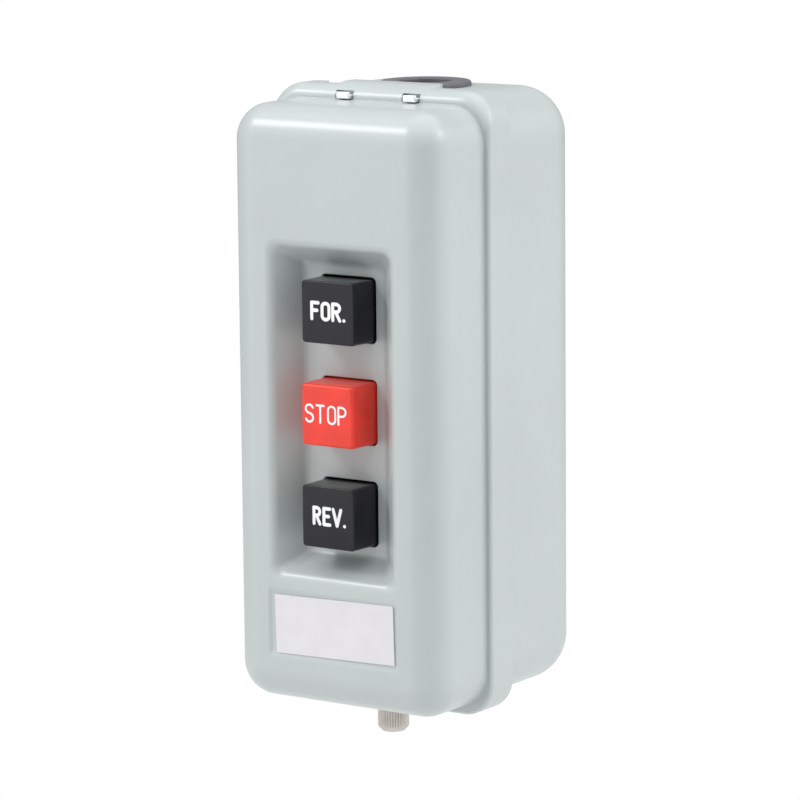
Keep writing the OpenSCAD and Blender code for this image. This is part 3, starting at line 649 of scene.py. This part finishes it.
# %% Keys
KEY_W, KEY_H, KEY_CORNER, DRAFT = 7.5, 7.425, 0.9, 0.1  # halves, except the corner and the draft
STEM_R, STEM_DEPTH = 3.55, 4
PAINT = 0.03  # how far the printed words stand up


def key_cap(node, body, material, soft):
    low, high = edges_of(node)
    mid = (0, (low[2] + high[2]) / 2)
    face, foot = high[1] - PAINT, low[1]
    rings = [rounded_ring(KEY_W - soft + x, KEY_H - soft + x, KEY_CORNER, face - soft + y, mid,
                          12, 12, 8) for y, x in arc(soft, 0, 90, 10)]
    side = [(t / 4, face - soft + (FLOOR - face + soft) * t / 4) for t in range(1, 5)]
    rings += [rounded_ring(KEY_W + DRAFT * t, KEY_H + DRAFT * t, KEY_CORNER, out, mid, 12, 12, 8)
              for t, out in side + [(1, foot)]]
    cap = skin(node, rings, True, True)
    stem = round_tool(STEM_R, (0, foot - 1, mid[1]), (0, foot + STEM_DEPTH, mid[1]), "out", 48)
    cut(cap, stem)
    return dress(cap, node, body, material)


key_cap("forward_key", "forward", "black_key", 0.3)
key_cap("stop_key", "stop", "red_key", 0.8)
key_cap("reverse_key", "reverse", "black_key", 0.3)
print("keys:", 2 * KEY_W, "x", 2 * KEY_H, "mm")


# %% [markdown]
# ## The words on the keys
# FOR., STOP and REV. are the plain words for the three functions. They were printed through a
# screen with thick white paint, with round ends and a slight rise. Each letter is a few strokes,
# and a stroke is a flat strip with round ends that lies on the key's face.

# %% Letter strokes
def bow(cx, cy, rx, ry, start, end, steps=14):
    """Part of an oval, angles in degrees, on a letter drawn one unit high."""
    return [(cx + rx * x, cy + ry * y) for x, y in arc(1, start, end, steps)]


W = 0.46  # width of a letter that is one unit high
LETTERS = {
    "F": [[(0, 0), (0, 1)], [(0, 1), (W, 1)], [(0, 0.53), (W * 0.8, 0.53)]],
    "O": [bow(W / 2, 1 - W / 2, W / 2, W / 2, 80, 180) + bow(W / 2, W / 2, W / 2, W / 2, 180, 280),
          bow(W / 2, W / 2, W / 2, W / 2, 260, 360) + bow(W / 2, 1 - W / 2, W / 2, W / 2, 0, 100)],
    "R": [[(0, 0), (0, 1)], [(0, 1)] + bow(W - 0.24, 0.76, 0.24, 0.24, 90, -90) + [(0, 0.52)],
          [(W * 0.42, 0.52), (W, 0)]],
    "E": [[(0, 0), (0, 1)], [(0, 1), (W, 1)], [(0, 0), (W, 0)], [(0, 0.52), (W * 0.8, 0.52)]],
    "V": [[(0, 1), (W / 2, 0)], [(W / 2, 0), (W, 1)]],
    "S": [bow(W / 2, 0.76, W / 2, 0.24, 20, 250, 18)
          + bow(W / 2, 0.25, W / 2, 0.25, 70, -160, 18)],
    "T": [[(0, 1), (W, 1)], [(W / 2, 1), (W / 2, 0)]],
    "P": [[(0, 0), (0, 1)], [(0, 1)] + bow(W - 0.26, 0.74, 0.26, 0.26, 90, -90) + [(0, 0.48)]],
    ".": [[(0, 0.02), (0.001, 0.02)]],
}
print("letters:", len(LETTERS) - 1)


# %% [markdown]
# ## From strokes to words
# A stroke is given its width by stepping aside from its path on both hands, and a half circle
# closes each end. The strokes of a letter overlap, so they are united into one solid: two skins
# in the same place would flicker.

# %% Strokes and words
SUNK = 0.05  # how deep a letter starts below the key's face


def stroke(path, width, face):
    """A raised strip with round ends along a path of (x, z) points in mm."""
    points = [Vector(p) for p in path]
    left, right_side = [], []
    for i, p in enumerate(points):
        before = (p - points[max(i - 1, 0)]).normalized() if i else None
        after = (points[i + 1] - p).normalized() if i + 1 < len(points) else None
        along = ((before or after) + (after or before)).normalized()
        aside = Vector((-along.y, along.x)) * width / 2
        left.append(p + aside)
        right_side.append(p - aside)
    first, last = points[1] - points[0], points[-1] - points[-2]
    turn = math.degrees(math.atan2(first.y, first.x))
    tail = [points[0] + Vector(v) for v in arc(width / 2, turn + 90, turn + 270, 10)[1:-1]]
    turn = math.degrees(math.atan2(last.y, last.x))
    head = [points[-1] + Vector(v) for v in arc(width / 2, turn - 90, turn + 90, 10)[1:-1]]
    loop = right_side + head + left[::-1] + tail
    return skin("stroke", [[(p.x, face + lift, p.y) for p in loop] for lift in (-SUNK, PAINT)],
                True, True)


def word(name, letters, starts, height, width, mid, face, stroke_w, squeeze, body):
    """A printed word. starts holds the left edge of each letter in mm from the key's middle, and
    squeeze holds the letters that are wider or narrower than the rest."""
    mesh = bmesh.new()
    for letter, start in zip(letters, starts):
        strokes = [stroke([(start + x / W * width * squeeze.get(letter, 1),
                            mid - height / 2 + y * height) for x, y in path], stroke_w, face)
                   for path in LETTERS[letter]]
        for other in strokes[1:]:
            apply(strokes[0], "BOOLEAN", operation="UNION", solver="EXACT", object=other)
            bpy.data.objects.remove(other)
        mesh.from_mesh(strokes[0].data)
        bpy.data.objects.remove(strokes[0])
    print(name, "has", len(mesh.faces), "faces")
    return dress(as_object(name, mesh), None, body, "legend_white", angle=50)


def face_of(node):
    low, high = edges_of(node)
    return high[1] - PAINT, (low[2] + high[2]) / 2


face, mid = face_of("forward_key")
word("forward_word", "FOR.", (-4.57, -1.57, 1.5, 4.7), 3.85, 2.0, mid + 0.35, face, 0.84,
     {"F": 0.95}, "forward")
face, mid = face_of("stop_key")
word("stop_word", "STOP", (-6.1, -2.95, 0.35, 3.35), 4.1, 2.1, mid + 0.35, face, 0.52, {}, "stop")
face, mid = face_of("reverse_key")
word("reverse_word", "REV.", (-4.1, -1.2, 1.5, 4.75), 3.85, 1.7, mid + 0.3, face, 0.84,
     {"V": 1.3}, "reverse")


# %% [markdown]
# ## Plate, grommet and hooks
# The plate is a thin sheet with a sharp cut edge, stuck on by hand and so a little crooked. The
# grommet is a turned form with soft lips. The hooks were stamped, which leaves a rounded edge.
# The model's own meshes of the plate and the hooks are right but for their edges, so these two
# are copied and bevelled. The grommet's section is turned about its axis.

# %% Small outer pieces
def lathe(name, profile, out, sides=96):
    """A turned piece about an upright axis. The profile holds (radius, height) pairs."""
    mesh = bmesh.new()
    rows = []
    for x, y in arc(1, 0, 360, sides)[:-1]:
        rows.append([mesh.verts.new(to_world((r * x, out + r * y, z))) for r, z in profile])
    for i, row in enumerate(rows):
        after = rows[(i + 1) % sides]
        for j in range(len(profile)):
            k = (j + 1) % len(profile)
            mesh.faces.new((row[j], row[k], after[k], after[j]))
    return as_object(name, mesh)


def rounded_copy(node, body, material, radius):
    """A copy of a node's mesh with its edges broken."""
    piece = bpy.data.objects.new(node, frame["nodes"][node].data.copy())
    bpy.context.collection.objects.link(piece)
    apply(piece, "WELD", merge_threshold=1e-6)
    apply(piece, "BEVEL", width=radius * MM, segments=3, limit_method="ANGLE",
          angle_limit=math.radians(40), harden_normals=False)
    return dress(piece, node, body, material, weighted=True)


plate = rounded_copy("name_plate", "cover", "white_plate", 0.04)
hooks = rounded_copy("hook_strip", "case", "zinc_plate", 0.22)
print("plate and hooks:", len(plate.data.vertices), "and", len(hooks.data.vertices), "points")

# %% Grommet
BORE_R, NECK_R, TAIL_R = 6.5, 9.45, 10.6  # bore, neck in the hole of the box, bead behind the sheet
LIP_IN, LIP_OUT, TAIL_SOFT = 0.5, 0.8, 0.4
PLAY = 0.06  # between the rubber and the sheet

low, high = edges_of("cable_grommet")
top, foot, flange = high[2], low[2], high[0]
box_top = edges_of("base_box")[1][2]
profile = [(BORE_R + LIP_IN + x, top - LIP_IN + z) for x, z in arc(LIP_IN, 180, 90, 6)]
profile += [(flange - LIP_OUT + x, top - LIP_OUT + z) for x, z in arc(LIP_OUT, 90, 0, 8)]
profile += [(flange, box_top + PLAY), (NECK_R, box_top + PLAY),
            (NECK_R, box_top - SHEET - PLAY), (TAIL_R, box_top - SHEET - PLAY),
            (TAIL_R, foot + TAIL_SOFT), (TAIL_R - TAIL_SOFT, foot),
            (BORE_R + TAIL_SOFT, foot), (BORE_R, foot + TAIL_SOFT)]
grommet = lathe("grommet", profile, GROMMET_OUT)
dress(grommet, "cable_grommet", "case", "black_rubber", angle=40)
print("grommet:", round(2 * flange, 1), "mm across")


# %% [markdown]
# ## The thumb screw
# The head is rolled with a straight knurl, so that fingers can turn it. Each tooth is a shallow
# ridge. The ridges run out into a chamfer at the free end and a neck under the rim. A bump map
# would leave the head's outline smooth, and the outline is what shows against the white.

# %% Thumb screw
RIDGES, RIDGE_DEPTH = 34, 0.26
HEAD, SHANK_R, AXIS_R = 7.6, 2.0, 0.02

low, high = edges_of("thumb_screw")
radius, foot, top = high[0], low[2], high[2]
head_top = foot + HEAD


def knurled(r, z, depth):
    """A ring of the head, with its ridges cut to a depth."""
    points = []
    for x, y in arc(1, 0, 360, RIDGES * 6)[:-1]:
        wave = 0.5 - 0.5 * math.cos(math.atan2(y, x) * RIDGES)
        rr = r - depth * wave ** 1.5
        points.append((rr * x, SCREW_OUT + rr * y, z))
    return points


knurl_foot, knurl_top = foot + 1.25, head_top - 0.7
rows = [(AXIS_R, foot, 0), (radius - 1.25, foot, 0), (radius - 1.0, foot + 0.06, 0.02),
        (radius - 0.3, foot + 0.75, 0.10), (radius, knurl_foot, RIDGE_DEPTH)]
rows += [(radius, knurl_foot + (knurl_top - knurl_foot) * i / 6, RIDGE_DEPTH) for i in range(1, 7)]
rows += [(radius - 0.35, head_top - 0.25, 0.05), (radius - 0.65, head_top, 0),
         (SHANK_R, head_top, 0), (SHANK_R, top - 0.4, 0), (SHANK_R - 0.3, top, 0),
         (AXIS_R, top, 0)]
screw = skin("thumb_screw_knurled", [knurled(*row) for row in rows], True, True)
dress(screw, "thumb_screw", "screw", "screw_steel", angle=40)
print("thumb screw:", RIDGES, "ridges round", round(2 * radius, 1), "mm")


# %% [markdown]
# ## Springs
# The springs are cold-wound wire. A finer sweep than the model's lets the light run along the
# turns. A return spring shortens with its key and the latch spring with its plate, but here each
# is made at its length at rest.

# %% Springs
PRESS, LATCH_LIFT = 4.5, 2.2  # travel of a key and of the latch plate
RETURN_R, RETURN_WIRE = 5.0, 0.8
LATCH_R, LATCH_WIRE = 1.4, 0.5
TURNS = 6


def coil(name, start, axis, length, radius, wire, anchor, travel):
    """A spring of round wire. Its axis is 'out' or 'up', and anchor is not used."""
    steps, sides = TURNS * 40, 12
    rings = []
    for i in range(steps + 1):
        a = 2 * math.pi * TURNS * i / steps
        rise = wire / 2 + (length - wire) * i / steps
        ring = []
        for u, v in arc(wire / 2, 0, 360, sides)[:-1]:
            x, y, z = (radius + u) * math.cos(a), (radius + u) * math.sin(a), rise + v
            ring.append((start[0] + x, start[1] + (z if axis == "out" else y),
                         start[2] + (y if axis == "out" else z)))
        rings.append(ring)
    spring = skin(name, rings, True, True)
    dress(spring, name, "case", "spring_steel", angle=60)
    keep = (length - travel) / length
    to_world(anchor)
    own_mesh(spring)
    print(name, "shortens from", round(length, 2), "to", round(length - travel, 2), "mm")


for key, row in ROWS.items():
    low, high = edges_of(key + "_spring")
    place = (0, low[1], KEY_MID + row)
    coil(key + "_spring", place, "out", high[1] - low[1], RETURN_R, RETURN_WIRE,
         place, PRESS)
low, high = edges_of("latch_spring")
coil("latch_spring", (0, (low[1] + high[1]) / 2, low[2]), "up", high[2] - low[2], LATCH_R,
     LATCH_WIRE, (0, low[1], high[2]), LATCH_LIFT)


# %% [markdown]
# ## Studio
# The photograph was lit through large diffusers at the left, at the right and overhead, with a
# smaller bright lamp high on the left that draws the thin streak along the top edge and another
# one on the right for its corner. A faint strip near the floor lifts the undersides. The space
# round the camera is darker, which gives the dark band along the case's front corner. Each lamp
# is placed by its angle from the camera's direction.

# %% Lamps
def around(turn, rise, distance):
    """A place at an angle to the right of the camera's direction and above the level."""
    a, e = TURN + math.radians(turn), math.radians(rise)
    return AIM + distance * Vector((math.sin(a) * math.cos(e), -math.cos(a) * math.cos(e),
                                    math.sin(e)))


def softbox(name, turn, rise, distance, size, power):
    lamp = bpy.data.lights.new(name, "AREA")
    lamp.shape = "RECTANGLE"
    lamp.size, lamp.size_y = size
    lamp.energy = power
    piece = bpy.data.objects.new(name, lamp)
    piece.location = around(turn, rise, distance)
    piece.rotation_euler = (piece.location - AIM).to_track_quat("Z", "Y").to_euler()
    bpy.context.collection.objects.link(piece)
    piece.visible_camera = False


softbox("left diffuser", -76, 14, 1.3, (1.0, 1.5), 5.9)
softbox("right diffuser", 75, 16, 1.3, (2.3, 1.4), 8.8)
softbox("ceiling diffuser", 20, 80, 1.4, (2.2, 2.2), 20.5)
softbox("low fill", -25, -12, 1.0, (1.2, 0.16), 0.1)
softbox("streak lamp", -81, 40, 1.2, (0.40, 0.28), 3.6)
softbox("corner lamp", 68, 38, 1.2, (0.40, 0.40), 2.4)
print("lamps:", len(bpy.data.lights))


# %% [markdown]
# ## Floor and sky
# In the photograph the switch stands free on white. A floor that glows only for the camera gives
# that white without throwing extra light, because every other ray meets a plain pale floor. The
# sky does the same with its two backgrounds.

# %% Floor
FLOOR_DROP, FLOOR_SIZE = 0.30, 30  # metres
mesh = bmesh.new()
bmesh.ops.create_grid(mesh, x_segments=8, y_segments=8, size=FLOOR_SIZE)
bmesh.ops.translate(mesh, verts=mesh.verts, vec=(0, 0, -FLOOR_DROP))
floor = as_object("floor", mesh)
net = Net("pale floor")
seen = net.add("ShaderNodeLightPath").out("Is Camera Ray")
grain = net.noise(40, 2)
pale = net.add("ShaderNodeBsdfPrincipled", None,
               {"Base Color": grain.colours((0.78, 0.78, 0.78), (0.82, 0.82, 0.82)),
                "Roughness": 0.9})
white = net.add("ShaderNodeEmission", None, {"Color": (1, 1, 1, 1), "Strength": 1.0})
both = net.add("ShaderNodeMixShader", None, {0: seen, 1: pale.out(0), 2: white.out(0)})
net.add("ShaderNodeOutputMaterial", None, {0: both.out(0)})
floor.data.materials.append(net.material)
print("floor:", FLOOR_DROP, "m below the middle of the switch")

# %% Sky
world = bpy.data.worlds.new("studio")
bpy.context.scene.world = world
world.use_nodes = True
sky = world.node_tree
seen = sky.nodes.new("ShaderNodeLightPath")
mix = sky.nodes.new("ShaderNodeMixShader")
dim = sky.nodes["Background"]
dim.inputs["Color"].default_value = (0.95, 0.98, 0.985, 1)
dim.inputs["Strength"].default_value = 0.42
bright = sky.nodes.new("ShaderNodeBackground")
bright.inputs["Color"].default_value = (1, 1, 1, 1)
sky.links.new(seen.outputs["Is Camera Ray"], mix.inputs[0])
sky.links.new(dim.outputs[0], mix.inputs[1])
sky.links.new(bright.outputs[0], mix.inputs[2])
sky.links.new(mix.outputs[0], sky.nodes["World Output"].inputs["Surface"])

view = bpy.context.scene.view_settings
view.view_transform = "Standard"
print("view:", view.view_transform)
